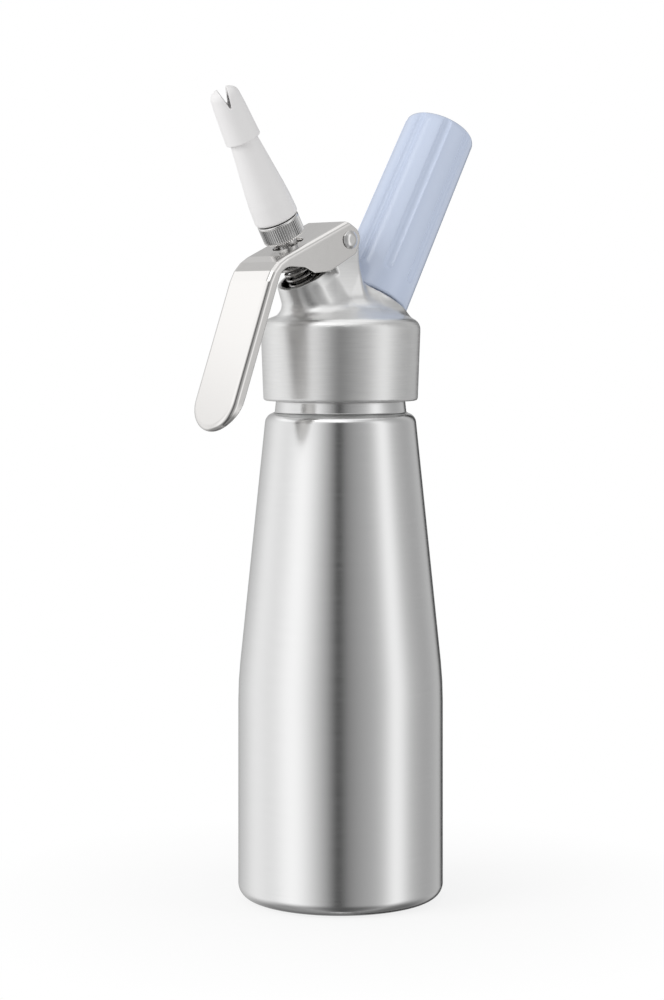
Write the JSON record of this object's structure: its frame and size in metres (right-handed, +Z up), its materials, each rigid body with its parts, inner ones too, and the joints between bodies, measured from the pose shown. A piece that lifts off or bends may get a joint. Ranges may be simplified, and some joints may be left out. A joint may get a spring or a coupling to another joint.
{
  "type": "whipped cream dispenser",
  "caption": "Aluminium cream dispenser bottle with a cast screw-on head, lever valve with slanted decorator tip, and a slanted fluted holder for a gas charger.",
  "frame": {"origin": "centre of the bottle's flat base, on the bottle's axis", "axes": "+Z up along the bottle's axis; the decorator tip and the lever lean to -X, the charger holder leans to +X; the XZ plane is the plane of symmetry"},
  "size_m": [0.1353, 0.08, 0.3131],
  "materials": {
    "bottle_aluminium": "brushed round the axis, satin",
    "cast_aluminium": "satin, turned on the cap's side",
    "lever_steel": "polished with a faint brushing",
    "bright_steel": "polished",
    "stem_steel": "turned",
    "spring_steel": "drawn wire",
    "nut_plating": "bright plating over a straight knurl",
    "brass": "turned",
    "charger_steel": "drawn, satin",
    "seal_rubber": "matte",
    "white_plastic": "semi-gloss",
    "blue_plastic": "semi-gloss, pale blue"
  },
  "bodies": {
    "bottle": {"bottle": "bottle_aluminium"},
    "gasket": {"head_gasket": "seal_rubber"},
    "head": {"head": "cast_aluminium", "lever_rivet": "bright_steel", "gland_nut": "brass", "stem_o_rings": "seal_rubber", "return_spring": "spring_steel", "piercing_pin": "brass", "non_return_sleeve": "seal_rubber", "charger_seal": "seal_rubber"},
    "lever": {"lever": "lever_steel"},
    "valve": {"valve_stem": "stem_steel", "valve_seal": "seal_rubber", "push_collar": "bright_steel", "adapter_nut": "nut_plating"},
    "tip_gasket": {"adapter_gasket": "seal_rubber"},
    "tip": {"decorator_tip": "white_plastic"},
    "charger": {"gas_charger": "charger_steel", "charger_cap": "charger_steel"},
    "holder": {"charger_holder": "blue_plastic"}
  },
  "joints": [
    {"name": "head_rise", "type": "slide", "parent": "bottle", "child": "gasket", "axis": [0, 0, 1], "range_m": [0, 0.0105]},
    {"name": "head_turn", "type": "hinge", "parent": "gasket", "child": "head", "pos_m": [0, 0, 0.206], "axis": [0, 0, 1], "range_deg": [0, 1080.2]},
    {"name": "lever_squeeze", "type": "hinge", "parent": "head", "child": "lever", "pos_m": [-0.0062, 0, 0.2559], "axis": [0, -1, 0], "range_deg": [0, 8.05], "stiffness_Nm_per_rad": 1.5, "springref_deg": -5.73},
    {"name": "valve_stroke", "type": "slide", "parent": "head", "child": "valve", "axis": [0.5, 0, -0.866], "range_m": [0, 0.00218], "deforming": ["return_spring"]},
    {"name": "tip_rise", "type": "slide", "parent": "valve", "child": "tip_gasket", "axis": [-0.5, 0, 0.866], "range_m": [0, 0.0045]},
    {"name": "tip_turn", "type": "hinge", "parent": "tip_gasket", "child": "tip", "pos_m": [0, 0, 0.206], "axis": [-0.5, 0, 0.866], "range_deg": [0, 1080.2]},
    {"name": "holder_rise", "type": "slide", "parent": "head", "child": "charger", "axis": [0.5, 0, 0.866], "range_m": [0, 0.012]},
    {"name": "holder_turn", "type": "hinge", "parent": "charger", "child": "holder", "pos_m": [0, 0, 0.206], "axis": [0.5, 0, 0.866], "range_deg": [0, 2160.4]}
  ],
  "couplings": [
    {"joint": "head_turn", "follows": "head_rise", "rad_per_m": 1795.2},
    {"joint": "lever_squeeze", "follows": "valve_stroke", "rad_per_m": 64.103},
    {"joint": "tip_turn", "follows": "tip_rise", "rad_per_m": 4188.8},
    {"joint": "holder_turn", "follows": "holder_rise", "rad_per_m": 3141.6}
  ]
}
